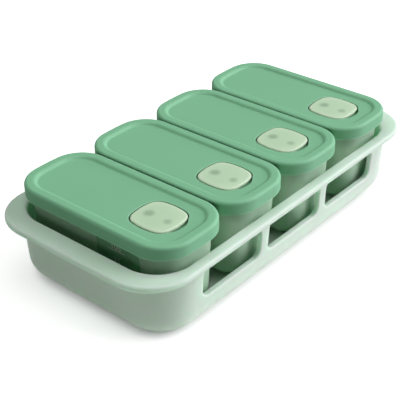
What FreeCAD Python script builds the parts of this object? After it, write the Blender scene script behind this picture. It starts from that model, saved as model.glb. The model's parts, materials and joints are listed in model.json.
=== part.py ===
import FreeCAD, Part
import math
import os
import Sketcher

# Baby food freezer tray: a moulded basin that carries a row of lidded portion jars.
# X runs along the row, Y across it and Z up, in millimetres, from the bottom centre of the tray.
# Containers are numbered from 1 at the -X end.

sizes = {
    # the row of containers
    "containerCount": 4,
    "lidWidth": 47.7,
    "lidLength": 103.4,
    "lidCorner": 17.4,
    "lidEndBow": 150.0,
    "lidGap": 0.6,
    # tray
    "trayHeight": 38.0,
    "trayWall": 3.0,
    "trayFloor": 2.3,
    "trayDraft": 1.8,
    "trayCorner": 22.8,
    "trayBaseRound": 11.8,
    "trayEndRoom": 5.25,
    "traySideRoom": 1.9,
    "openingRound": 1.4,
    # tray rim
    "rimThickness": 3.3,
    "rimEndReach": 8.65,
    "rimSideReach": 3.4,
    "rimCorner": 24.6,
    "rimRound": 1.3,
    # tray windows
    "windowMullion": 5.6,
    "windowEndRoom": 5.95,
    "windowSillRoom": 3.6,
    "windowTopRoom": 1.5,
    "windowCorner": 4.8,
    "windowRound": 0.7,
    # jars
    "jarInset": 3.2,
    "jarHeight": 46.5,
    "jarWall": 1.6,
    "jarFloor": 1.7,
    "jarDraft": 2.4,
    "jarBaseRound": 10.8,
    "lipReach": 1.25,
    "lipHeight": 1.8,
    "lipRound": 0.5,
    # measuring panel sunk in the -X side of each jar
    "gaugeLength": 28.0,
    "gaugeHeight": 24.0,
    "gaugeCorner": 4.0,
    "gaugeDepth": 0.4,
    "gaugeEndRoom": 16.5,
    "gaugeDrop": 6.3,
    # lids
    "lidFit": 0.35,
    "lidRise": 2.8,
    "skirtDrop": 4.4,
    "lidRound": 1.75,
    "skirtRound": 0.5,
    "ridgeWidth": 5.2,
    "ridgeRun": 1.2,
    "ridgeHeight": 1.3,
    "ridgeRound": 2.2,
    "ridgeFootRound": 1.2,
    "lidPanelThickness": 1.6,
    "ribDepth": 2.8,
    "ribThickness": 1.4,
    # seals
    "sealHeight": 1.1,
    "sealLift": 0.2,
    "sealFit": 0.15,
    # vent plugs
    "plugWidth": 23.5,
    "plugLength": 24.0,
    "plugBow": 30.0,
    "plugCorner": 6.2,
    "plugThickness": 1.9,
    "plugRound": 0.8,
    "plugEndRoom": 13.8,
    "recessDepth": 1.6,
    "recessFit": 0.45,
    "recessRound": 0.5,
    "bossWall": 1.5,
    "bossFloor": 1.4,
    "notchRadius": 10.5,
    "notchReach": 2.05,
    # the ends of each vent plug
    "hingeOffset": 1.6,
    "hingeGap": 0.3,
    "studRadius": 2.0,
    "studFit": 0.2,
    "studOffset": 5.2,
    "bulbRadius": 2.8,
    "bulbHeight": 1.2,
    "pinRadius": 1.5,
    "pinTipRadius": 1.0,
    "pinFit": 0.6,
    "pinOffset": 6.6,
    "studDimple": 2.5,
    "pinDimple": 1.65,
    "dimpleDepth": 0.4,
}

doc = FreeCAD.newDocument("FreezerTray")
sheet = doc.addObject("Spreadsheet::Sheet", "Sizes")
for row, (alias, number) in enumerate(sizes.items(), start=1):
    sheet.set(f"A{row}", alias)
    sheet.set(f"B{row}", str(number))
    sheet.setAlias(f"B{row}", alias)
doc.recompute()

# how far apart points may be and still count as one place, and how often a bowed corner is corrected
touching = 0.001
settlingTurns = 60
alongX = FreeCAD.Vector(1, 0, 0)
upwards = FreeCAD.Vector(0, 0, 1)

# how a sketch numbers its two axes and the points of a curve; its origin is the start of the X axis
xAxis, yAxis = range(-1, -3, -1)
startPoint, endPoint, centrePoint = range(1, 4)


def value(rule):
    # what a rule over the sheet comes to
    return float(sheet.evalExpression(rule))


# Outlines: a rounded rectangle whose sides (facing X) and ends (facing Y) are straight or bowed.

def outlineOf(sizeX, sizeY, corner, sideBow=None, endBow=None):
    return {"sizeX": sizeX, "sizeY": sizeY, "corner": corner, "sideBow": sideBow, "endBow": endBow}


def inset(outline, distance):
    # the same outline moved inwards all round, so its arcs keep their centres
    return outlineOf(
        f"({outline['sizeX']} - 2 * ({distance}))",
        f"({outline['sizeY']} - 2 * ({distance}))",
        f"({outline['corner']} - ({distance}))",
        outline["sideBow"] and f"({outline['sideBow']} - ({distance}))",
        outline["endBow"] and f"({outline['endBow']} - ({distance}))",
    )


def newSketch(body, name, role, centre):
    # a sketch on an origin plane, with its own origin moved to a centre given in the plane's axes
    sketch = body.newObject("Sketcher::SketchObject", name)
    plane = [feature for feature in body.Origin.OriginFeatures if feature.Role == role][0]
    sketch.AttachmentSupport = [(plane, "")]
    sketch.MapMode = "FlatFace"
    for axis, rule in zip("xyz", centre):
        sketch.setExpression(f"AttachmentOffset.Base.{axis}", rule)
    return sketch


def bind(sketch, constraint, rule):
    # adds a dimension and ties it to the sheet
    number = sketch.addConstraint(constraint)
    sketch.setExpression(f"Constraints[{number}]", rule)


def drawArc(sketch, centre, radius, start, end):
    circle = Part.Circle(FreeCAD.Vector(*centre, 0), upwards, radius)
    sketch.addGeometry(Part.ArcOfCircle(circle, start, end), False)


def drawOutline(body, name, outline, role, centre):
    # Four corner arcs (0 to 3), then the +Y end, -X side, -Y end and +X side (4 to 7) between them.
    sketch = newSketch(body, name, role, centre)
    halfX = value(outline["sizeX"]) / 2
    halfY = value(outline["sizeY"]) / 2
    corner = value(outline["corner"])
    sideBow = outline["sideBow"] and value(outline["sideBow"])
    endBow = outline["endBow"] and value(outline["endBow"])
    cornerX = halfX - corner
    cornerY = halfY - corner
    for turn in range(settlingTurns):
        if endBow:
            cornerY = halfY - endBow + math.sqrt((endBow - corner) ** 2 - cornerX ** 2)
        if sideBow:
            cornerX = halfX - sideBow + math.sqrt((sideBow - corner) ** 2 - cornerY ** 2)
    sideAngle = math.atan2(cornerY, cornerX - halfX + sideBow) if sideBow else 0.0
    endAngle = math.atan2(cornerY - halfY + endBow, cornerX) if endBow else math.pi / 2
    corners = [
        ((cornerX, cornerY), sideAngle, endAngle),
        ((-cornerX, cornerY), math.pi - endAngle, math.pi - sideAngle),
        ((-cornerX, -cornerY), math.pi + sideAngle, math.pi + endAngle),
        ((cornerX, -cornerY), 2 * math.pi - endAngle, 2 * math.pi - sideAngle),
    ]
    for middle, start, end in corners:
        drawArc(sketch, middle, corner, start, end)
    bows = [
        (endBow, (0, halfY - (endBow or 0)), endAngle, math.pi - endAngle),
        (sideBow, ((sideBow or 0) - halfX, 0), math.pi - sideAngle, math.pi + sideAngle),
        (endBow, (0, (endBow or 0) - halfY), math.pi + endAngle, 2 * math.pi - endAngle),
        (sideBow, (halfX - (sideBow or 0), 0), -sideAngle, sideAngle),
    ]
    for number, (radius, middle, start, end) in enumerate(bows):
        if radius:
            drawArc(sketch, middle, radius, start, end)
        else:
            first = sketch.Geometry[number].EndPoint
            last = sketch.Geometry[(number + 1) % 4].StartPoint
            sketch.addGeometry(Part.LineSegment(first, last), False)
    for number in range(4):
        sketch.addConstraint(Sketcher.Constraint("Tangent", number, endPoint, number + 4, startPoint))
        following = (number + 1) % 4
        sketch.addConstraint(Sketcher.Constraint("Tangent", number + 4, endPoint, following, startPoint))
    for number in range(1, 4):
        sketch.addConstraint(Sketcher.Constraint("Equal", 0, number))
    bind(sketch, Sketcher.Constraint("Radius", 0, corner), outline["corner"])
    if endBow:
        bowed(sketch, 4, 6, yAxis, endBow, outline["endBow"])
        reach = Sketcher.Constraint("DistanceY", 4, centrePoint, xAxis, startPoint, endBow - halfY)
        bind(sketch, reach, f"{outline['endBow']} - {outline['sizeY']} / 2")
    else:
        straight(sketch, "Horizontal", "DistanceY", 4, 6, halfY, f"{outline['sizeY']} / 2")
    if sideBow:
        bowed(sketch, 7, 5, xAxis, sideBow, outline["sideBow"])
        reach = Sketcher.Constraint("DistanceX", 7, centrePoint, xAxis, startPoint, sideBow - halfX)
        bind(sketch, reach, f"{outline['sideBow']} - {outline['sizeX']} / 2")
    else:
        straight(sketch, "Vertical", "DistanceX", 7, 5, halfX, f"{outline['sizeX']} / 2")
    return sketch


def bowed(sketch, first, second, axis, radius, rule):
    # two equal arcs that face each other across the sketch's origin, with their centres on an axis
    sketch.addConstraint(Sketcher.Constraint("Equal", first, second))
    sketch.addConstraint(Sketcher.Constraint("PointOnObject", first, centrePoint, axis))
    between = ("Symmetric", first, centrePoint, second, centrePoint, xAxis, startPoint)
    sketch.addConstraint(Sketcher.Constraint(*between))
    bind(sketch, Sketcher.Constraint("Radius", first, radius), rule)


def straight(sketch, lie, distance, first, second, half, rule):
    # two straight edges at the same distance on either side of the sketch's origin
    sketch.addConstraint(Sketcher.Constraint(lie, first))
    sketch.addConstraint(Sketcher.Constraint(lie, second))
    bind(sketch, Sketcher.Constraint(distance, xAxis, startPoint, first, startPoint, half), rule)
    bind(sketch, Sketcher.Constraint(distance, second, startPoint, xAxis, startPoint, half), rule)


def drawCircle(body, name, radius, centre):
    # a circle on the body's XY plane, about a centre
    sketch = newSketch(body, name, "XY_Plane", centre)
    circle = Part.Circle(FreeCAD.Vector(0, 0, 0), upwards, value(radius))
    sketch.addGeometry(circle, False)
    sketch.addConstraint(Sketcher.Constraint("Coincident", 0, centrePoint, xAxis, startPoint))
    bind(sketch, Sketcher.Constraint("Radius", 0, value(radius)), radius)
    return sketch


# Features: pads rise from their sketch, pockets sink from it, and both can be turned over.

def newBody(label, placeX="0"):
    body = doc.addObject("PartDesign::Body", label)
    body.Label = label
    body.setExpression("Placement.Base.x", placeX)
    return body


def extrude(body, kind, sketch, length, turned=False):
    feature = body.newObject(f"PartDesign::{kind}", f"{sketch.Name}_{kind}")
    feature.Profile = sketch
    feature.setExpression("Length", length)
    feature.Reversed = turned


def cutThrough(body, sketch):
    # a pocket that runs right through the body on both sides of its sketch
    feature = body.newObject("PartDesign::Pocket", f"{sketch.Name}_Pocket")
    feature.Profile = sketch
    feature.Type = "ThroughAll"
    feature.Midplane = True


def drafted(body, kind, name, outline, top, bottom, lean):
    # a straight-walled loft from an outline at the top to the same outline, leaned in, at the bottom
    upper = drawOutline(body, f"{name}_top", outline, "XY_Plane", ("0", "0", top))
    lower = drawOutline(body, f"{name}_bottom", inset(outline, lean), "XY_Plane", ("0", "0", bottom))
    doc.recompute()
    loft = body.newObject(f"PartDesign::{kind}", f"{name}_{kind}")
    loft.Profile = upper
    loft.Sections = [lower]
    loft.Ruled = True


def fits(box, outline, centreY):
    # whether a box lies inside an outline's own box about a centre on the Y axis
    reachX = max(abs(box.XMin), abs(box.XMax))
    reachY = max(abs(box.YMin - centreY), abs(box.YMax - centreY))
    halfX = value(outline["sizeX"]) / 2
    halfY = value(outline["sizeY"]) / 2
    return reachX < halfX + touching and reachY < halfY + touching


def flatEdges(height, within=None, beyond=None, centreY="0"):
    # a test for the edges that lie at one height, inside an outline or not inside a smaller one
    level = value(height)
    middle = value(centreY)

    def chosen(edge):
        box = edge.BoundBox
        if max(abs(box.ZMin - level), abs(box.ZMax - level)) > touching:
            return False
        if within and not fits(box, within, middle):
            return False
        return not (beyond and fits(box, beyond, middle))
    return chosen


def rounded(body, name, radius, chosen):
    # rounds the edges of the body that a test picks
    doc.recompute()
    base = body.Tip
    names = [f"Edge{number}" for number, edge in enumerate(base.Shape.Edges, start=1) if chosen(edge)]
    if not names:
        raise RuntimeError(f"{body.Label} has no edges for {name}")
    fillet = body.newObject("PartDesign::Fillet", name)
    fillet.Base = (base, names)
    fillet.setExpression("Radius", radius)


# Rules that several pieces share.

pitch = "(Sizes.lidWidth + Sizes.lidGap)"
rowLength = f"((Sizes.containerCount - 1) * {pitch})"
lid = outlineOf("Sizes.lidWidth", "Sizes.lidLength", "Sizes.lidCorner", None, "Sizes.lidEndBow")
jar = inset(lid, "Sizes.jarInset")
jarLip = inset(lid, "(Sizes.jarInset - Sizes.lipReach)")
jarBore = inset(jar, "Sizes.jarWall")
jarBottom = "Sizes.trayFloor"
jarTop = f"({jarBottom} + Sizes.jarHeight)"
jarLean = "Sizes.jarDraft"

basin = outlineOf(
    f"({rowLength} + {jar['sizeX']} + 2 * Sizes.trayEndRoom)",
    f"({jar['sizeY']} + 2 * Sizes.traySideRoom)",
    "(Sizes.trayCorner - Sizes.trayWall)",
)
trayBody = inset(basin, "-Sizes.trayWall")
rim = outlineOf(
    f"({trayBody['sizeX']} + 2 * Sizes.rimEndReach)",
    f"({trayBody['sizeY']} + 2 * Sizes.rimSideReach)",
    "Sizes.rimCorner",
)
rimUnderside = "(Sizes.trayHeight - Sizes.rimThickness)"

sealBottom = f"({jarTop} + Sizes.sealLift)"
channelRoof = f"({sealBottom} + Sizes.sealHeight)"
lidTop = f"({jarTop} + Sizes.lidRise)"
lidPanel = f"({lidTop} - Sizes.ridgeHeight)"
lidCeiling = f"({lidPanel} - Sizes.lidPanelThickness)"
skirtBottom = f"({jarTop} - Sizes.skirtDrop)"
ribBottom = f"({lidCeiling} - Sizes.ribDepth)"
channelOuter = inset(jarLip, "-Sizes.lidFit")
channelInner = inset(jarBore, "Sizes.lidFit")
ribInner = inset(channelInner, "Sizes.ribThickness")

recessFloor = f"({lidPanel} - Sizes.recessDepth)"
bossBottom = f"({recessFloor} - Sizes.bossFloor)"
plugTop = f"({recessFloor} + Sizes.plugThickness)"
plugY = "(Sizes.plugEndRoom + Sizes.plugLength / 2 - Sizes.lidLength / 2)"
hingeY = f"({plugY} + Sizes.hingeOffset)"
plug = outlineOf("Sizes.plugWidth", "Sizes.plugLength", "Sizes.plugCorner", "Sizes.plugBow", "Sizes.plugBow")
recess = inset(plug, "-Sizes.recessFit")
boss = inset(recess, "-Sizes.bossWall")
notchOffset = f"({recess['sizeY']} / 2 + Sizes.notchReach - Sizes.notchRadius)"
notchY = f"({plugY} - {notchOffset})"
studY = f"({plugY} + Sizes.studOffset)"
pinY = f"({plugY} - Sizes.pinOffset)"


def makeTray():
    # The basin, its wide flat rim, and a row of windows through both long walls.
    body = newBody("tray")
    drafted(body, "AdditiveLoft", "wall", trayBody, "Sizes.trayHeight", "0", "Sizes.trayDraft")
    flange = drawOutline(body, "flange", rim, "XY_Plane", ("0", "0", rimUnderside))
    extrude(body, "Pad", flange, "Sizes.rimThickness")
    floorLean = "Sizes.trayDraft * (1 - Sizes.trayFloor / Sizes.trayHeight)"
    drafted(body, "SubtractiveLoft", "basin", basin, "Sizes.trayHeight", "Sizes.trayFloor", floorLean)
    innerRound = "Sizes.trayBaseRound - Sizes.trayWall"
    rounded(body, "basin_round", innerRound, flatEdges("Sizes.trayFloor"))
    rounded(body, "base_round", "Sizes.trayBaseRound", flatEdges("0"))
    rounded(body, "opening_round", "Sizes.openingRound", flatEdges("Sizes.trayHeight", within=basin))
    openingEdge = inset(basin, "-Sizes.openingRound")
    rounded(body, "rim_top_round", "Sizes.rimRound", flatEdges("Sizes.trayHeight", beyond=openingEdge))
    rounded(body, "rim_under_round", "Sizes.rimRound", flatEdges(rimUnderside, beyond=trayBody))
    cutWindows(body)
    return body


def cutWindows(body):
    # Equal windows fill the straight stretch of each long wall, one fewer than the containers.
    windowCount = round(value("Sizes.containerCount")) - 1
    straightRun = f"({trayBody['sizeX']} - 2 * Sizes.trayCorner - 2 * Sizes.windowEndRoom)"
    windowPitch = f"(({straightRun} + Sizes.windowMullion) / {windowCount})"
    sill = "(Sizes.trayBaseRound + Sizes.windowSillRoom)"
    head = f"({rimUnderside} - Sizes.windowTopRoom)"
    window = outlineOf(f"({windowPitch} - Sizes.windowMullion)", f"({head} - {sill})", "Sizes.windowCorner")
    for number in range(windowCount):
        middle = f"({number} - ({windowCount} - 1) / 2) * {windowPitch}"
        place = (middle, f"({sill} + {head}) / 2", "0")
        opening = drawOutline(body, f"window_{number + 1}", window, "XZ_Plane", place)
        cutThrough(body, opening)

    low = value(sill) - touching
    high = value(head) + touching
    halfY = value(trayBody["sizeY"]) / 2
    lean = value("Sizes.trayDraft / Sizes.trayHeight")
    height = value("Sizes.trayHeight")

    def onOuterFace(edge):
        box = edge.BoundBox
        if box.ZMin < low or box.ZMax > high:
            return False
        ends = [vertex.Point for vertex in edge.Vertexes]
        return all(abs(abs(end.y) - halfY + lean * (height - end.z)) < touching for end in ends)
    rounded(body, "window_round", "Sizes.windowRound", onOuterFace)


def makeJar(number, placeX):
    # A leaning tub with a lip under the lid and a shallow measuring panel on its -X side.
    body = newBody(f"jar_{number}", placeX)
    drafted(body, "AdditiveLoft", "tub", jar, jarTop, jarBottom, jarLean)
    lipSketch = drawOutline(body, "lip", jarLip, "XY_Plane", ("0", "0", jarTop))
    extrude(body, "Pad", lipSketch, "Sizes.lipHeight", turned=True)
    boreFloor = f"({jarBottom} + Sizes.jarFloor)"
    boreLean = f"{jarLean} * (1 - Sizes.jarFloor / Sizes.jarHeight)"
    drafted(body, "SubtractiveLoft", "bore", jarBore, jarTop, boreFloor, boreLean)
    rounded(body, "bore_round", "Sizes.jarBaseRound - Sizes.jarWall", flatEdges(boreFloor))
    rounded(body, "base_round", "Sizes.jarBaseRound", flatEdges(jarBottom))
    rounded(body, "rim_round", "Sizes.lipRound", flatEdges(jarTop))
    sinkGauge(body)
    return body


def sinkGauge(body):
    # The sketch lies on the leaning wall, so the panel is equally deep all over.
    gauge = outlineOf("Sizes.gaugeLength", "Sizes.gaugeHeight", "Sizes.gaugeCorner")
    drop = "(Sizes.gaugeDrop + Sizes.gaugeHeight / 2)"
    wallX = f"({jarLean} * {drop} / Sizes.jarHeight - {jar['sizeX']} / 2)"
    gaugeY = f"Sizes.gaugeEndRoom + Sizes.gaugeLength / 2 - {jar['sizeY']} / 2"
    place = (gaugeY, f"{jarTop} - {drop}", wallX)
    sketch = drawOutline(body, "gauge", gauge, "YZ_Plane", place)
    offset = sketch.AttachmentOffset
    offset.Rotation = FreeCAD.Rotation(alongX, -1)
    sketch.AttachmentOffset = offset
    sketch.setExpression("AttachmentOffset.Rotation.Angle", f"-atan({jarLean} / Sizes.jarHeight)")
    extrude(body, "Pocket", sketch, "Sizes.gaugeDepth", turned=True)


def makeLid(number, placeX):
    # A cap with a raised border, a channel for the seal under it and a recess for the vent plug.
    body = newBody(f"lid_{number}", placeX)
    cap = drawOutline(body, "cap", lid, "XY_Plane", ("0", "0", skirtBottom))
    extrude(body, "Pad", cap, f"{lidTop} - {skirtBottom}")
    rounded(body, "top_round", "Sizes.lidRound", flatEdges(lidTop))
    rounded(body, "skirt_round", "Sizes.skirtRound", flatEdges(skirtBottom))
    ridge = inset(lid, "Sizes.ridgeWidth")
    drafted(body, "SubtractiveLoft", "border", ridge, lidTop, lidPanel, "Sizes.ridgeRun")
    rounded(body, "ridge_round", "Sizes.ridgeRound", flatEdges(lidTop, within=ridge))
    rounded(body, "ridge_foot_round", "Sizes.ridgeFootRound", flatEdges(lidPanel, within=ridge))
    skirtHollow = drawOutline(body, "skirt_hollow", channelOuter, "XY_Plane", ("0", "0", skirtBottom))
    extrude(body, "Pocket", skirtHollow, f"{ribBottom} - {skirtBottom}", turned=True)
    cutChannel(body)
    addVentSeat(body)
    return body


def cutChannel(body):
    # The ring between the skirt and the rib, up to the seal's seat, and the hollow inside the rib.
    depth = f"{channelRoof} - {ribBottom}"
    channel = drawOutline(body, "channel", channelOuter, "XY_Plane", ("0", "0", ribBottom))
    extrude(body, "Pocket", channel, depth, turned=True)
    rib = drawOutline(body, "rib", channelInner, "XY_Plane", ("0", "0", ribBottom))
    extrude(body, "Pad", rib, depth)
    inside = drawOutline(body, "rib_inside", ribInner, "XY_Plane", ("0", "0", ribBottom))
    extrude(body, "Pocket", inside, f"{lidCeiling} - {ribBottom}", turned=True)


def addVentSeat(body):
    # The boss under the panel, the recess with its finger notch, and the holes for the plug's two ends.
    bossHeight = f"{lidCeiling} - {bossBottom}"
    bossSketch = drawOutline(body, "boss", boss, "XY_Plane", ("0", plugY, bossBottom))
    extrude(body, "Pad", bossSketch, bossHeight)
    bossNotch = drawCircle(body, "boss_notch", "Sizes.notchRadius + Sizes.bossWall", ("0", notchY, bossBottom))
    extrude(body, "Pad", bossNotch, bossHeight)
    seat = drawOutline(body, "recess", recess, "XY_Plane", ("0", plugY, lidPanel))
    extrude(body, "Pocket", seat, "Sizes.recessDepth")
    notch = drawCircle(body, "notch", "Sizes.notchRadius", ("0", notchY, lidPanel))
    extrude(body, "Pocket", notch, "Sizes.recessDepth")
    studHole = drawCircle(body, "stud_hole", "Sizes.studRadius + Sizes.studFit", ("0", studY, recessFloor))
    extrude(body, "Pocket", studHole, "Sizes.bossFloor")
    pinHole = drawCircle(body, "pin_hole", "Sizes.pinRadius + Sizes.pinFit", ("0", pinY, recessFloor))
    extrude(body, "Pocket", pinHole, "Sizes.bossFloor")
    mouth = inset(recess, "0 - Sizes.notchReach")
    rounded(body, "recess_round", "Sizes.recessRound", flatEdges(lidPanel, within=mouth, centreY=plugY))


def makeSeal(number, placeX):
    # A flat ring that fills the lid's channel and lies on the jar's rim.
    body = newBody(f"lid_seal_{number}", placeX)
    outer = inset(channelOuter, "Sizes.sealFit")
    inner = inset(channelInner, "-Sizes.sealFit")
    ring = drawOutline(body, "ring", outer, "XY_Plane", ("0", "0", sealBottom))
    extrude(body, "Pad", ring, "Sizes.sealHeight")
    hole = drawOutline(body, "hole", inner, "XY_Plane", ("0", "0", channelRoof))
    extrude(body, "Pocket", hole, "Sizes.sealHeight")
    return body


def plugBlank(body):
    # The whole cap of a vent plug, before it is parted at its living hinge.
    blank = drawOutline(body, "cap", plug, "XY_Plane", ("0", plugY, recessFloor))
    extrude(body, "Pad", blank, "Sizes.plugThickness")
    rounded(body, "cap_round", "Sizes.plugRound", flatEdges(plugTop))


def partCap(body, edge, side):
    # removes the cap beyond a line across it, on the +Y side (1) or the -Y side (-1)
    away = outlineOf("Sizes.plugWidth * 2", "Sizes.plugLength", "Sizes.plugRound")
    middle = f"{edge} + ({side}) * Sizes.plugLength / 2"
    cut = drawOutline(body, "parting", away, "XY_Plane", ("0", middle, plugTop))
    extrude(body, "Pocket", cut, "Sizes.plugThickness")


def makeAnchor(number, placeX):
    # The fixed end of a vent plug, held through the recess floor by a stud with a bulb.
    body = newBody(f"vent_anchor_{number}", placeX)
    plugBlank(body)
    partCap(body, f"{hingeY} + Sizes.hingeGap", -1)
    stud = drawCircle(body, "stud", "Sizes.studRadius", ("0", studY, bossBottom))
    extrude(body, "Pad", stud, "Sizes.bossFloor")
    bulb = drawCircle(body, "bulb", "Sizes.bulbRadius", ("0", studY, bossBottom))
    extrude(body, "Pad", bulb, "Sizes.bulbHeight", turned=True)
    dimple = drawCircle(body, "dimple", "Sizes.studDimple", ("0", studY, plugTop))
    extrude(body, "Pocket", dimple, "Sizes.dimpleDepth")
    return body


def makeFlap(number, placeX):
    # The lifting end of a vent plug, with the tapered pin that closes the vent hole.
    body = newBody(f"vent_flap_{number}", placeX)
    plugBlank(body)
    partCap(body, hingeY, 1)
    root = drawCircle(body, "pin_root", "Sizes.pinRadius", ("0", pinY, recessFloor))
    tip = drawCircle(body, "pin_tip", "Sizes.pinTipRadius", ("0", pinY, bossBottom))
    doc.recompute()
    pin = body.newObject("PartDesign::AdditiveLoft", "pin")
    pin.Profile = root
    pin.Sections = [tip]
    pin.Ruled = True
    dimple = drawCircle(body, "dimple", "Sizes.pinDimple", ("0", pinY, plugTop))
    extrude(body, "Pocket", dimple, "Sizes.dimpleDepth")
    return body


parts = [makeTray()]
for index in range(round(value("Sizes.containerCount"))):
    place = f"{index} * {pitch} - {rowLength} / 2"
    for make in (makeJar, makeLid, makeSeal, makeAnchor, makeFlap):
        parts.append(make(index + 1, place))

doc.recompute()
for piece in doc.Objects:
    if "Invalid" in piece.State or "Error" in piece.State:
        raise RuntimeError(f"{piece.Label} failed")
for piece in parts:
    if piece.Shape.isNull() or not piece.Shape.isValid():
        raise RuntimeError(f"{piece.Label} has no valid shape")

os.makedirs("parts", exist_ok=True)
for piece in parts:
    piece.Shape.exportStep(f"parts/{piece.Label}.step")
    print(piece.Label, round(piece.Shape.Volume, 1), len(piece.Shape.Solids))
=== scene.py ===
import json
import math

import bmesh
import bpy
from mathutils import Matrix, Vector
from mathutils.geometry import intersect_sphere_sphere_2d

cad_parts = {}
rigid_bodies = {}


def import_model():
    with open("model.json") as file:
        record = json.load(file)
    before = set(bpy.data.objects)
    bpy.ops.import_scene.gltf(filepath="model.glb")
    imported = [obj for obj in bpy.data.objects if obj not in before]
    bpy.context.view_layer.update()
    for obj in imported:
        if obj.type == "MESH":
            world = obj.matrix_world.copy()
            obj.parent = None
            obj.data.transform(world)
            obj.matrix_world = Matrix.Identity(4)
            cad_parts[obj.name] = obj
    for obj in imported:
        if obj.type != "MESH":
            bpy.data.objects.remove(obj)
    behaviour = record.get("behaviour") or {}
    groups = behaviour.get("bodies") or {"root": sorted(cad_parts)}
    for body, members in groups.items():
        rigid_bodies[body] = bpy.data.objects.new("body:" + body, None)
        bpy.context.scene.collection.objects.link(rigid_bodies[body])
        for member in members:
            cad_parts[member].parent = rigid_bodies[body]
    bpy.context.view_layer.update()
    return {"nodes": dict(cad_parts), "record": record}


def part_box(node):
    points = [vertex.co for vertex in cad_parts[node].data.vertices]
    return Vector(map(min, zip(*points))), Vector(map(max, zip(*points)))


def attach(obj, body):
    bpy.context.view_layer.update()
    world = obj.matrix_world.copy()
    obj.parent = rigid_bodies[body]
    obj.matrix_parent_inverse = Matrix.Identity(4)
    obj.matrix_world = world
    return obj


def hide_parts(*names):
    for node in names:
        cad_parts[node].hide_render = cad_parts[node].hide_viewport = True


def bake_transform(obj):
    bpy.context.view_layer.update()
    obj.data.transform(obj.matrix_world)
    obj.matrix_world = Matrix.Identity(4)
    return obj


bpy.ops.object.select_all(action="SELECT")
bpy.ops.object.delete()

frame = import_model()
nodes = frame["nodes"]
print("frame loaded:", len(nodes), "nodes")

jarCount = 4
mergeGap = 1e-6  # metres below which two points are one
origin = (0.0, 0.0, 0.0)

camera = {
    "target": (0.01881, 0.02865, -0.00607),  # metres
    "azimuth": -49.32,  # degrees
    "elevation": 31.89,
    "roll": -0.82,
    "distance": 0.56276,
    "lens": 86.49,  # millimetres on a 36 mm sensor
    "shift": 0.0056,  # share of the sensor's width
}


def toMesh(bm, name, material):
    mesh = bpy.data.meshes.new(name)
    bm.to_mesh(mesh)
    bm.free()
    mesh.materials.append(material)
    return mesh


def showPiece(name, data):
    piece = bpy.data.objects.new(name, data)
    bpy.context.scene.collection.objects.link(piece)
    return piece


def aimCamera():
    azimuth, elevation, roll = (math.radians(camera[turn]) for turn in ("azimuth", "elevation", "roll"))
    back = Vector((
        math.sin(azimuth) * math.cos(elevation),
        -math.cos(azimuth) * math.cos(elevation),
        math.sin(elevation),
    ))
    right = (-back).cross(Vector((0, 0, 1))).normalized()
    up = right.cross(-back)
    turned = Matrix((right, up, back)).transposed() @ Matrix.Rotation(roll, 3, "Z")
    place = Vector(camera["target"]) + back * camera["distance"]
    lensData = bpy.data.cameras.new("camera")
    lensData.lens = camera["lens"]
    lensData.shift_x = camera["shift"]
    eye = showPiece("camera", lensData)
    eye.matrix_world = Matrix.Translation(place) @ turned.to_4x4()
    bpy.context.scene.camera = eye


aimCamera()
print("camera set")


def colour(red, green, blue):
    # a screen colour from 0 to 255, as the shader wants it
    def linear(level):
        level = level / 255
        return level / 12.92 if level <= 0.04045 else ((level + 0.055) / 1.055) ** 2.4
    return (linear(red), linear(green), linear(blue), 1)


# steps that the materials are put together from; a term is a fixed value or the output of another node
def newTree(owner):
    owner.use_nodes = True
    owner.node_tree.nodes.clear()
    return owner.node_tree


def feed(tree, socket, term):
    if isinstance(term, bpy.types.NodeSocket):
        tree.links.new(term, socket)
    else:
        socket.default_value = term


def maths(tree, operation, *terms):
    step = tree.nodes.new("ShaderNodeMath")
    step.operation = operation
    for socket, term in zip(step.inputs, terms):
        feed(tree, socket, term)
    return step.outputs["Value"]


def vectorMaths(tree, operation, *terms):
    step = tree.nodes.new("ShaderNodeVectorMath")
    step.operation = operation
    for socket, term in zip(step.inputs, terms):
        feed(tree, socket, term)
    givesNumber = operation in ("LENGTH", "DISTANCE", "DOT_PRODUCT")
    return step.outputs["Value" if givesNumber else "Vector"]


def mapRange(tree, value, start, end, low=0.0, high=1.0, fade="LINEAR"):
    # low at start, high at end, a fade between them and level beyond
    ramp = tree.nodes.new("ShaderNodeMapRange")
    ramp.interpolation_type = fade
    sockets = ("Value", "From Min", "From Max", "To Min", "To Max")
    for socket, term in zip(sockets, (value, start, end, low, high)):
        feed(tree, ramp.inputs[socket], term)
    return ramp.outputs["Result"]


def noise(tree, place, scale, detail):
    pattern = tree.nodes.new("ShaderNodeTexNoise")
    pattern.inputs["Scale"].default_value = scale
    pattern.inputs["Detail"].default_value = detail
    feed(tree, pattern.inputs["Vector"], place)
    return pattern.outputs["Fac"]


def blendColours(tree, factor, first, second):
    mix = tree.nodes.new("ShaderNodeMix")
    mix.data_type = "RGBA"
    feed(tree, mix.inputs["Factor"], factor)
    feed(tree, mix.inputs[6], first)  # colour A
    feed(tree, mix.inputs[7], second)  # colour B
    return mix.outputs[2]


def openness(tree, reach, samples):
    # 1 in the open, less where something stands within reach
    around = tree.nodes.new("ShaderNodeAmbientOcclusion")
    around.samples = samples
    around.inputs["Distance"].default_value = reach
    return around.outputs["AO"]


def distanceOutside(tree, offset, halfSize):
    # how far a point lies outside a box round the middle
    past = vectorMaths(tree, "SUBTRACT", vectorMaths(tree, "ABSOLUTE", offset), halfSize)
    return vectorMaths(tree, "LENGTH", vectorMaths(tree, "MAXIMUM", past, origin))


def bump(tree, height, distance, strength, under=None):
    relief = tree.nodes.new("ShaderNodeBump")
    relief.inputs["Distance"].default_value = distance
    relief.inputs["Strength"].default_value = strength
    feed(tree, relief.inputs["Height"], height)
    if under:
        feed(tree, relief.inputs["Normal"], under)
    return relief.outputs["Normal"]


def finishTree(tree, shader, kind="ShaderNodeOutputMaterial"):
    feed(tree, tree.nodes.new(kind).inputs["Surface"], shader.outputs[0])


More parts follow.
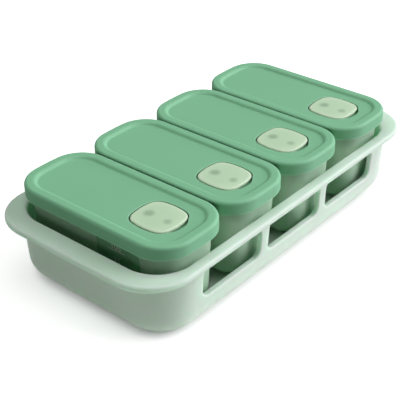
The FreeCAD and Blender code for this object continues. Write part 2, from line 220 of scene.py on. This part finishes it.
def softShader(tree, look, travel, tint, gloss, relief):
    # some of the light travels a little way under the surface
    shader = tree.nodes.new("ShaderNodeBsdfPrincipled")
    shader.inputs["Subsurface Weight"].default_value = look["softness"]
    shader.inputs["Subsurface Radius"].default_value = travel
    shader.inputs["Subsurface Scale"].default_value = look["reach"]
    feed(tree, shader.inputs["Base Color"], tint)
    feed(tree, shader.inputs["Roughness"], gloss)
    feed(tree, shader.inputs["Normal"], relief)
    finishTree(tree, shader)
    return shader


floor = {
    "size": 3.0,
    "seen": (0.7, 0.7, 0.7, 1),  # its colour to the eye
    "bounceNear": (0.93, 1.0, 0.9, 1),  # its colour for the light that it gives back
    "bounceFar": (0.1, 0.14, 0.1, 1),
    "covered": (0.108, 0.055, 0.0),  # half the floor that the tray covers, in metres
    "nearEdge": 0.05,  # the bounce fades between these two distances from there
    "farEdge": 0.10,
    "glowNear": 0.66,  # strength of its glow for the eye
    "glowFar": 0.85,
    # painted shade: the glow fades within this reach of the tray, darkening the floor round its foot
    "glowShadeReach": 0.028,  # metres round the object where the glow fades into its shadow
    "glowFull": 0.57,  # openness past which the glow is whole
    "glowSamples": 16,
}


def floorMaterial():
    # the light that comes back off the floor fades with the distance from the tray
    material = bpy.data.materials.new("studioFloor")
    tree = newTree(material)
    place = tree.nodes.new("ShaderNodeTexCoord").outputs["Object"]
    rays = tree.nodes.new("ShaderNodeLightPath").outputs
    gap = distanceOutside(tree, place, floor["covered"])
    away = mapRange(tree, gap, floor["nearEdge"], floor["farEdge"])
    bounce = blendColours(tree, away, floor["bounceNear"], floor["bounceFar"])
    matt = tree.nodes.new("ShaderNodeBsdfDiffuse")
    feed(tree, matt.inputs["Color"], blendColours(tree, rays["Is Camera Ray"], bounce, floor["seen"]))

    # the floor glows for the eye, and close to the tray in gloss too; the glow fades close round the
    # tray, which paints shade on the floor there on top of the real shadow that the lamps cast
    whole = mapRange(tree, away, 0.0, 1.0, floor["glowNear"], floor["glowFar"])
    around = openness(tree, floor["glowShadeReach"], floor["glowSamples"])
    strength = mapRange(tree, around, 0.0, floor["glowFull"], 0.0, whole)
    mirrored = maths(tree, "MULTIPLY", rays["Is Glossy Ray"], mapRange(tree, away, 0.0, 1.0, 1.0, 0.0))
    shown = maths(tree, "ADD", rays["Is Camera Ray"], mirrored)
    glow = tree.nodes.new("ShaderNodeEmission")
    feed(tree, glow.inputs["Strength"], maths(tree, "MULTIPLY", shown, strength))
    both = tree.nodes.new("ShaderNodeAddShader")
    feed(tree, both.inputs[0], matt.outputs[0])
    feed(tree, both.inputs[1], glow.outputs[0])
    finishTree(tree, both)
    return material


def makeFloor():
    bm = bmesh.new()
    bmesh.ops.create_grid(bm, x_segments=1, y_segments=1, size=floor["size"] / 2)
    showPiece("studioFloor", toMesh(bm, "studioFloor", floorMaterial()))


sky = {
    "colour": (1, 1, 1, 1),
    "light": 0.02,  # strength on everything
    "seen": 1.0,  # strength added for the eye
    "mirrored": 0.3,  # strength added in gloss
}


def makeSky():
    world = bpy.data.worlds.new("studioSky")
    bpy.context.scene.world = world
    tree = newTree(world)
    rays = tree.nodes.new("ShaderNodeLightPath").outputs
    seen = maths(tree, "MULTIPLY", rays["Is Camera Ray"], sky["seen"])
    mirrored = maths(tree, "MULTIPLY", rays["Is Glossy Ray"], sky["mirrored"])
    strength = maths(tree, "ADD", maths(tree, "ADD", seen, sky["light"]), mirrored)
    back = tree.nodes.new("ShaderNodeBackground")
    back.inputs["Color"].default_value = sky["colour"]
    feed(tree, back.inputs["Strength"], strength)
    finishTree(tree, back, "ShaderNodeOutputWorld")


lamps = {
    "keyLamp": {
        "place": (1.65, -1.54, 1.15),  # metres
        "size": 2.5,
        "power": 78.0,  # watts
        "colour": (1.03, 0.955, 1.05),
    },
    "topLamp": {
        "place": (-0.2, 0.1, 2.4),
        "size": 1.8,
        "power": 26.0,
        "colour": (0.99, 1.01, 0.99),
    },
    "fillLamp": {
        "place": (-2.3, 0.9, 0.6),
        "size": 1.2,
        "power": 6.5,
        "colour": (1.0, 1.0, 1.0),
    },
}


def makeLamps():
    for name, look in lamps.items():
        lampData = bpy.data.lights.new(name, "AREA")
        lampData.shape = "DISK"
        lampData.size = look["size"]
        lampData.energy = look["power"]
        lampData.color = look["colour"]
        aim = (-Vector(look["place"])).to_track_quat("-Z", "Y")
        lamp = showPiece(name, lampData)
        lamp.matrix_world = Matrix.Translation(look["place"]) @ aim.to_matrix().to_4x4()


makeFloor()
makeSky()
makeLamps()
bpy.context.scene.view_settings.view_transform = "Standard"
print("studio set")


gauge = {  # the polished measuring panel on each jar's -X side
    "middle": (0.0, -0.018, 0.0305),
    "halfLength": 0.014,
    "halfHeight": 0.012,
    "halfReach": 1.0,  # along X, past every jar
    "corner": 0.004,
    "border": 0.0003,  # half the width over which the frosting gives way
    "pitch": 0.0483,  # from one jar to the next
    "facing": -0.9,  # the wall's direction along X is below this on the panel's side
    "colour": colour(134, 196, 148),
    "roughness": 0.22,
}

plastics = {
    # each edge colour is a painted highlight along the rounded edges of a moulding
    "tray_plastic": {
        "colour": colour(207, 227, 211),
        "shade": colour(200, 222, 204),
        "edge": colour(240, 250, 241),
        "edgeWidth": 0.0014,
        "edgeHighlightShare": 0.85,
        "roughness": 0.52,
        "grain": 0.12,
        "softness": 0.75,  # share of the light that travels under the surface
        "reach": 0.009,  # how far it travels
    },
    "jar_plastic": {
        "colour": colour(172, 214, 177),
        "shade": colour(164, 208, 169),
        "edge": colour(190, 222, 192),
        "edgeWidth": 0.0006,
        "edgeHighlightShare": 0.5,
        "roughness": 0.42,
        "grain": 0.08,
        "softness": 0.9,
        "reach": 0.008,
        "gauge": gauge,
    },
    "lid_plastic": {
        "colour": colour(130, 194, 151),
        "shade": colour(124, 189, 146),
        "edge": colour(160, 218, 179),
        "edgeWidth": 0.0016,
        "edgeHighlightShare": 0.85,
        "roughness": 0.6,
        "grain": 0.14,
        "softness": 0.05,
        "reach": 0.002,
        # painted highlight: a lighter line round the foot of the lid's skirt
        "footHighlight": {"height": 0.0448, "halfWidth": 0.0003, "share": 0.9},  # light line at the skirt's foot
        # painted shade: the lid darkens towards this colour deep in narrow gaps
        "gapShade": {  # darker deep in narrow gaps, from shut to open
            "colour": colour(22, 80, 44),
            "reach": 0.004,
            "shut": 0.35,
            "open": 0.85,
            "samples": 8,
        },
    },
    "seal_silicone": {
        "colour": colour(196, 208, 190),
        "shade": colour(186, 200, 180),
        "edge": colour(210, 220, 204),
        "edgeWidth": 0.0003,
        "edgeHighlightShare": 0.4,
        "roughness": 0.55,
        "grain": 0.06,
        "softness": 0.2,
        "reach": 0.002,
    },
}

allPlastics = {  # what all the plastics share
    "patchScale": 34.0,  # broad patches of shade and unevenness
    "patchDetail": 3.0,
    "mottleScale": 260.0,  # patches of gloss
    "mottleDetail": 2.0,
    "grainScale": 1900.0,  # satin grain
    "grainDetail": 1.0,
    "waveHeight": 0.0006,  # metres
    "waveStrength": 0.1,
    "grainHeight": 0.00006,
    "glossier": 0.05,  # how far the roughness runs below and above its value
    "duller": 0.07,
    "edgeSamples": 4,
    "edgeTurn": 0.85,  # on an edge the rounded and the sharp normal agree by this or less
    "travel": (0.6, 1.0, 0.7),  # how far red, green and blue travel under the surface, as shares
    "refraction": 1.49,
}


def edgeHighlightFactor(tree, width, share):
    # share along the edges of a moulding and 0 on its flats, where the lighter edge colour paints a
    # highlight
    soft = tree.nodes.new("ShaderNodeBevel")
    soft.samples = allPlastics["edgeSamples"]
    soft.inputs["Radius"].default_value = width
    sharp = tree.nodes.new("ShaderNodeNewGeometry").outputs["Normal"]
    agreement = vectorMaths(tree, "DOT_PRODUCT", soft.outputs["Normal"], sharp)
    return mapRange(tree, agreement, 1.0, allPlastics["edgeTurn"], 0.0, share)


def footHighlightFactor(tree, place, footHighlight):
    # 1 on a thin band at the given height, where a highlight line is painted
    level = vectorMaths(tree, "DOT_PRODUCT", place, (0.0, 0.0, 1.0))
    onFootHighlight = maths(tree, "COMPARE", level, footHighlight["height"], footHighlight["halfWidth"])
    return maths(tree, "MULTIPLY", onFootHighlight, footHighlight["share"])


def gapShadeFactor(tree, gapShade):
    # 0 deep in a narrow gap and 1 in the open, for the painted shade in gaps
    around = openness(tree, gapShade["reach"], gapShade["samples"])
    return mapRange(tree, around, gapShade["shut"], gapShade["open"])


def gaugeFactor(tree, coordinates):
    # 1 on the panel and 0 elsewhere, from the distance to a rectangle with round corners
    corner, border = gauge["corner"], gauge["border"]
    core = (gauge["halfReach"], gauge["halfLength"] - corner, gauge["halfHeight"] - corner)
    offset = vectorMaths(tree, "SUBTRACT", coordinates["Object"], gauge["middle"])
    outside = distanceOutside(tree, offset, core)
    within = mapRange(tree, outside, corner + border, corner - border)
    # only the outside of the wall faces -X in the -X half of a jar
    facing = vectorMaths(tree, "DOT_PRODUCT", coordinates["Normal"], (1.0, 0.0, 0.0))
    along = vectorMaths(tree, "DOT_PRODUCT", coordinates["Object"], (1.0, 0.0, 0.0))
    inPitch = maths(tree, "FLOORED_MODULO", along, gauge["pitch"])
    outwards = maths(tree, "LESS_THAN", facing, gauge["facing"])
    firstHalf = maths(tree, "LESS_THAN", inPitch, gauge["pitch"] / 2)
    return maths(tree, "MULTIPLY", maths(tree, "MULTIPLY", within, outwards), firstHalf)


def plasticMaterial(name, look):
    material = bpy.data.materials.new(name)
    tree = newTree(material)
    coordinates = tree.nodes.new("ShaderNodeTexCoord").outputs
    place = coordinates["Object"]
    patches = noise(tree, place, allPlastics["patchScale"], allPlastics["patchDetail"])
    mottle = noise(tree, place, allPlastics["mottleScale"], allPlastics["mottleDetail"])
    grain = noise(tree, place, allPlastics["grainScale"], allPlastics["grainDetail"])
    tint = blendColours(tree, patches, look["shade"], look["colour"])
    # painted highlight: the lighter edge colour along the edges
    tint = blendColours(tree, edgeHighlightFactor(tree, look["edgeWidth"], look["edgeHighlightShare"]), tint, look["edge"])
    # painted highlight line at the skirt's foot
    if "footHighlight" in look:
        tint = blendColours(tree, footHighlightFactor(tree, place, look["footHighlight"]), tint, look["edge"])
    # painted shade deep in narrow gaps
    if "gapShade" in look:
        tint = blendColours(tree, gapShadeFactor(tree, look["gapShade"]), look["gapShade"]["colour"], tint)
    low, high = look["roughness"] - allPlastics["glossier"], look["roughness"] + allPlastics["duller"]
    gloss = mapRange(tree, mottle, 0.0, 1.0, low, high)
    if "gauge" in look:
        panel = gaugeFactor(tree, coordinates)
        tint = blendColours(tree, panel, tint, look["gauge"]["colour"])
        gloss = mapRange(tree, panel, 0.0, 1.0, gloss, look["gauge"]["roughness"])
    waves = bump(tree, patches, allPlastics["waveHeight"], allPlastics["waveStrength"])
    relief = bump(tree, grain, allPlastics["grainHeight"], look["grain"], waves)
    shader = softShader(tree, look, allPlastics["travel"], tint, gloss, relief)
    shader.inputs["IOR"].default_value = allPlastics["refraction"]
    return material


materials = {name: plasticMaterial(name, look) for name, look in plastics.items()}
slotOf = {row["node"]: row["material_slot"] for row in frame["record"]["subparts"]}
for name, node in nodes.items():
    if slotOf[name] in materials:
        node.data.materials.clear()
        node.data.materials.append(materials[slotOf[name]])
print("mouldings finished")


plug = {
    "bow": 0.030,  # radius of its bowed sides and ends
    "corner": 0.0062,
    "thickness": 0.0019,
    "edgeRound": 0.0008,
    "edgeSteps": 4,
    "footRound": 0.0003,
    "footSteps": 2,
    "crown": 0.0002,  # how far the middle of the top stands above its edge
    "arcSteps": 9,
    "cut": 0.0008,  # size of the squares that the top and underside are cut into
    "cutGap": 1e-7,  # a point this close to a cut lies on it
    "fold": 0.0013,  # half the width that bends at the living hinge
    "groove": 0.0009,  # depth of the groove under the hinge
    "sharpAngle": 40,  # degrees
    "pegSteps": 28,
    "pegs": {  # each ring of a peg is its radius and its depth, from the top down
        "stud": {
            "place": 0.0052,  # along the plug, from its middle
            "rings": (
                (0.0020, 0.0017),
                (0.0020, 0.0033),
                (0.0028, 0.0033),
                (0.0028, 0.0041),
                (0.0023, 0.0045),
            ),
        },
        "pin": {
            "place": -0.0066,
            "rings": ((0.0015, 0.0017), (0.0010, 0.0033)),
        },
    },
}

plugLook = {
    "colour": colour(187, 220, 183),
    # a paler tone, spread in random clouds and painted as a highlight towards the plug's rounded edge
    "cloudAndRimHighlightColour": colour(204, 230, 196),
    "rimHighlightStart": 0.006,  # distances from the middle between which the rim's colour comes in
    "rimEnd": 0.0145,
    # painted shade: a soft dark spot over each peg that shows through the cap
    "pegShadeColour": colour(132, 168, 134),
    "pegShadeSpots": (  # where a peg shows through the cap, from the plug's middle
        {"place": (-0.0010, 0.0052, 0.0), "radius": 0.0029, "share": 0.85},
        {"place": (-0.0010, -0.0064, 0.0), "radius": 0.0023, "share": 0.6},
    ),
    "spotStart": 0.35,  # shares of the radius between which a spot fades
    "spotEnd": 1.35,
    "cloudScale": 220.0,
    "cloudDetail": 3.0,
    "cloudShare": 0.35,
    "roughness": 0.55,
    "glossier": 0.06,
    "duller": 0.08,
    "grain": 0.08,
    "grainHeight": 0.00005,
    "softness": 0.35,
    "travel": (0.8, 1.0, 0.7),
    "reach": 0.002,
}
flatPlace = "flatPlace"  # the attribute that the plug's pattern follows


def plugMaterial():
    material = bpy.data.materials.new("plugSilicone")
    tree = newTree(material)
    attribute = tree.nodes.new("ShaderNodeAttribute")
    attribute.attribute_name = flatPlace
    place = attribute.outputs["Vector"]
    middleGap = vectorMaths(tree, "LENGTH", place)
    # painted highlight: paler towards the plug's edge
    rim = mapRange(tree, middleGap, plugLook["rimHighlightStart"], plugLook["rimEnd"], fade="SMOOTHSTEP")
    tint = blendColours(tree, rim, plugLook["colour"], plugLook["cloudAndRimHighlightColour"])
    # painted shade where each peg shows through the cap
    for spot in plugLook["pegShadeSpots"]:
        gap = vectorMaths(tree, "DISTANCE", place, spot["place"])
        start, end = spot["radius"] * plugLook["spotStart"], spot["radius"] * plugLook["spotEnd"]
        shade = mapRange(tree, gap, start, end, spot["share"], 0.0, "SMOOTHSTEP")
        tint = blendColours(tree, shade, tint, plugLook["pegShadeColour"])
    clouds = noise(tree, place, plugLook["cloudScale"], plugLook["cloudDetail"])
    cloudy = mapRange(tree, clouds, 0.0, 1.0, 0.0, plugLook["cloudShare"])
    tint = blendColours(tree, cloudy, tint, plugLook["cloudAndRimHighlightColour"])
    low, high = plugLook["roughness"] - plugLook["glossier"], plugLook["roughness"] + plugLook["duller"]
    gloss = mapRange(tree, clouds, 0.0, 1.0, low, high)
    grain = noise(tree, place, allPlastics["grainScale"], allPlastics["grainDetail"])
    relief = bump(tree, grain, plugLook["grainHeight"], plugLook["grain"])
    softShader(tree, plugLook, plugLook["travel"], tint, gloss, relief)
    return material


def bowedOutline(bm, width, length):
    # one quarter is spun from three arcs that run into each other, then mirrored twice
    bow, corner = plug["bow"], plug["corner"]
    endCentre = Vector((0, length / 2 - bow))
    sideCentre = Vector((width / 2 - bow, 0))
    meetings = intersect_sphere_sphere_2d(endCentre, bow - corner, sideCentre, bow - corner)
    cornerCentre = max(meetings, key=lambda spot: spot.x + spot.y)
    endTurn = math.atan2(cornerCentre.x, cornerCentre.y - endCentre.y)
    sideTurn = math.atan2(cornerCentre.y, cornerCentre.x - sideCentre.x)
    arcs = (
        (endCentre, endTurn),
        (cornerCentre, math.pi / 2 - endTurn - sideTurn),
        (sideCentre, sideTurn),
    )
    tip = [bm.verts.new((0, length / 2, 0))]
    for centre, turn in arcs:
        spun = bmesh.ops.spin(
            bm, geom=tip, cent=(*centre, 0), axis=(0, 0, -1), angle=turn, steps=plug["arcSteps"],
            use_merge=False)
        tip = spun["geom_last"]
    for axis in "XY":
        bmesh.ops.mirror(bm, geom=bm.verts[:] + bm.edges[:], axis=axis, merge_dist=mergeGap)
    bmesh.ops.remove_doubles(bm, verts=bm.verts, dist=mergeGap)
    return bmesh.ops.contextual_create(bm, geom=bm.edges[:])["faces"]


def roundRim(bm, height, radius, steps):
    rim = [edge for edge in bm.edges if all(abs(vert.co.z - height) < mergeGap for vert in edge.verts)]
    bmesh.ops.bevel(
        bm, geom=rim, offset=radius, offset_type="OFFSET", affect="EDGES", segments=steps, profile=0.5,
        material=-1)


def cutSquares(bm, width, length):
    # fine enough for the crown, and for the groove at the hinge
    for size, direction in ((width, (1, 0, 0)), (length, (0, 1, 0))):
        count = round(size / plug["cut"])
        for cut in range(1, count):
            spot = Vector(direction) * (cut / count - 0.5) * size
            everything = bm.verts[:] + bm.edges[:] + bm.faces[:]
            bmesh.ops.bisect_plane(
                bm, geom=everything, dist=plug["cutGap"], plane_co=spot, plane_no=direction)


def crownAndGroove(bm, width, length, hinge):
    for vert in bm.verts:
        if vert.co.z > -plug["thickness"] / 2:
            outwards = min(1.0, math.hypot(vert.co.x / width, vert.co.y / length) * 2)
            vert.co.z += plug["crown"] * (1 - outwards ** 2)
        else:
            across = min(1.0, abs(vert.co.y - hinge) / plug["fold"])
            vert.co.z += plug["groove"] * (1 + math.cos(math.pi * across)) / 2


def addPeg(bm, placeY, rings):
    # a turned peg under the cap, closed at both ends
    profile = [bm.verts.new((0, placeY, -rings[0][1]))]
    profile += [bm.verts.new((radius, placeY, -depth)) for radius, depth in rings]
    profile.append(bm.verts.new((0, placeY, -rings[-1][1])))
    edges = [bm.edges.new(pair) for pair in zip(profile, profile[1:])]
    bmesh.ops.spin(
        bm, geom=profile + edges, cent=(0, placeY, 0), axis=(0, 0, 1), angle=math.tau,
        steps=plug["pegSteps"], use_merge=True)


def keepFlatPlace(mesh):
    # remembers each point's place on the flat plug, which its pattern follows
    places = [0.0] * (3 * len(mesh.vertices))
    mesh.vertices.foreach_get("co", places)
    mesh.attributes.new(flatPlace, "FLOAT_VECTOR", "POINT").data.foreach_set("vector", places)


def plugShape(width, length, hinge):
    bm = bmesh.new()
    cap = bowedOutline(bm, width, length)
    risen = bmesh.ops.extrude_face_region(bm, geom=cap)["geom"]
    sunk = [item for item in risen if isinstance(item, bmesh.types.BMVert)]
    bmesh.ops.translate(bm, vec=(0, 0, -plug["thickness"]), verts=sunk)
    roundRim(bm, 0.0, plug["edgeRound"], plug["edgeSteps"])
    roundRim(bm, -plug["thickness"], plug["footRound"], plug["footSteps"])
    cutSquares(bm, width, length)
    crownAndGroove(bm, width, length, hinge)
    for peg in plug["pegs"].values():
        addPeg(bm, peg["place"], peg["rings"])
    bmesh.ops.remove_doubles(bm, verts=bm.verts, dist=mergeGap)
    bmesh.ops.recalc_face_normals(bm, faces=bm.faces)
    for face in bm.faces:
        face.smooth = True
    return bm


def makePlug(number, material):
    anchorLow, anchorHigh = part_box(f"vent_anchor_{number}")
    flapLow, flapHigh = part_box(f"vent_flap_{number}")
    width = anchorHigh[0] - anchorLow[0]
    length = anchorHigh[1] - flapLow[1]
    middle = Vector(((anchorLow[0] + anchorHigh[0]) / 2, (anchorHigh[1] + flapLow[1]) / 2, anchorHigh[2]))
    shape = plugShape(width, length, flapHigh[1] - middle.y)
    mesh = toMesh(shape, f"ventPlug_{number}", material)
    mesh.set_sharp_from_angle(angle=math.radians(plug["sharpAngle"]))
    keepFlatPlace(mesh)
    mesh.transform(Matrix.Translation(middle))
    piece = showPiece(f"ventPlug_{number}", mesh)
    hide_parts(f"vent_anchor_{number}", f"vent_flap_{number}")
    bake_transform(piece)


silicone = plugMaterial()
for number in range(1, jarCount + 1):
    makePlug(number, silicone)
print("vent plugs made")


marks = {
    "look": {
        "colour": colour(206, 230, 204),
        "shade": colour(198, 224, 196),
        # the edge colour is a painted highlight along the marks' edges
        "edge": colour(226, 240, 224),
        "edgeWidth": 0.0002,
        "edgeHighlightShare": 0.5,
        "roughness": 0.4,
        "grain": 0.05,
        "softness": 0.3,
        "reach": 0.002,
    },
    "levels": {"50": 0.01955, "75": 0.02755, "100": 0.03525},  # millilitres, metres above the jar's foot
    "shortLevels": (0.02355, 0.03135, 0.03895),
    "textSize": 0.0044,
    "textLift": 0.0006,  # gap between a line and the number on it
    "longLine": 0.0105,
    "shortLine": 0.0052,
    "lineWidth": 0.00045,
    "relief": 0.00018,  # thickness of the lines and the numbers
    "roundShare": 0.3,  # radius of a line's edges, as a share of the relief
    "roundSteps": 2,
    "weldGap": 1e-7,
    "panelY": -0.0165,  # middle of the marks along Y
    "panelSink": 0.0004,  # depth of the panel
    "lip": 0.00125,  # how far the jar's lip stands out past its side
    "lean": 0.0024,  # how far the side leans in over the jar's height
    "buried": 0.0001,  # how deep the marks are set into the panel
}


def addLine(bm, width, height):
    line = bmesh.ops.create_cube(bm, size=1.0)["verts"]
    bmesh.ops.scale(bm, vec=(width, marks["lineWidth"], marks["relief"]), verts=line)
    bmesh.ops.translate(bm, vec=(0, height, 0), verts=line)
    edges = {edge for vert in line for edge in vert.link_edges}
    radius = marks["relief"] * marks["roundShare"]
    bmesh.ops.bevel(
        bm, geom=list(edges), offset=radius, offset_type="OFFSET", affect="EDGES",
        segments=marks["roundSteps"], profile=0.5, material=-1)


def addNumber(bm, number, height):
    writing = bpy.data.curves.new("number", "FONT")
    writing.body = number
    writing.size = marks["textSize"]
    writing.align_x = "CENTER"
    writing.extrude = marks["relief"] / 2
    drawn = showPiece("number", writing)
    bpy.context.view_layer.update()
    solid = bpy.data.meshes.new_from_object(drawn.evaluated_get(bpy.context.evaluated_depsgraph_get()))
    solid.transform(Matrix.Translation((0, height + marks["textLift"], 0)))
    bm.from_mesh(solid)
    bpy.data.objects.remove(drawn)


def marksPlace(number):
    # the panel faces -X on a side that leans in towards the foot
    low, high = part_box(f"jar_{number}")
    lean = math.atan2(marks["lean"], high[2] - low[2])
    across = Vector((0, -1, 0))
    upwards = Vector((-math.sin(lean), 0, math.cos(lean)))
    outwards = across.cross(upwards)
    foot = Vector((low[0] + marks["lip"] + marks["lean"], marks["panelY"], low[2]))
    foot -= outwards * (marks["panelSink"] + marks["buried"] - marks["relief"] / 2)
    return Matrix.Translation(foot) @ Matrix((across, upwards, outwards)).transposed().to_4x4()


def makeMarks(number, material):
    bm = bmesh.new()
    for level, height in marks["levels"].items():
        addLine(bm, marks["longLine"], height)
        addNumber(bm, level, height)
    for height in marks["shortLevels"]:
        addLine(bm, marks["shortLine"], height)
    bmesh.ops.remove_doubles(bm, verts=bm.verts, dist=marks["weldGap"])
    bmesh.ops.recalc_face_normals(bm, faces=bm.faces)
    mesh = toMesh(bm, f"jarMarks_{number}", material)
    mesh.transform(marksPlace(number))
    piece = showPiece(f"jarMarks_{number}", mesh)
    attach(piece, f"jar_{number}")


marksMaterial = plasticMaterial("jarMarks", marks["look"])
for number in range(1, jarCount + 1):
    makeMarks(number, marksMaterial)
print("measuring marks made")
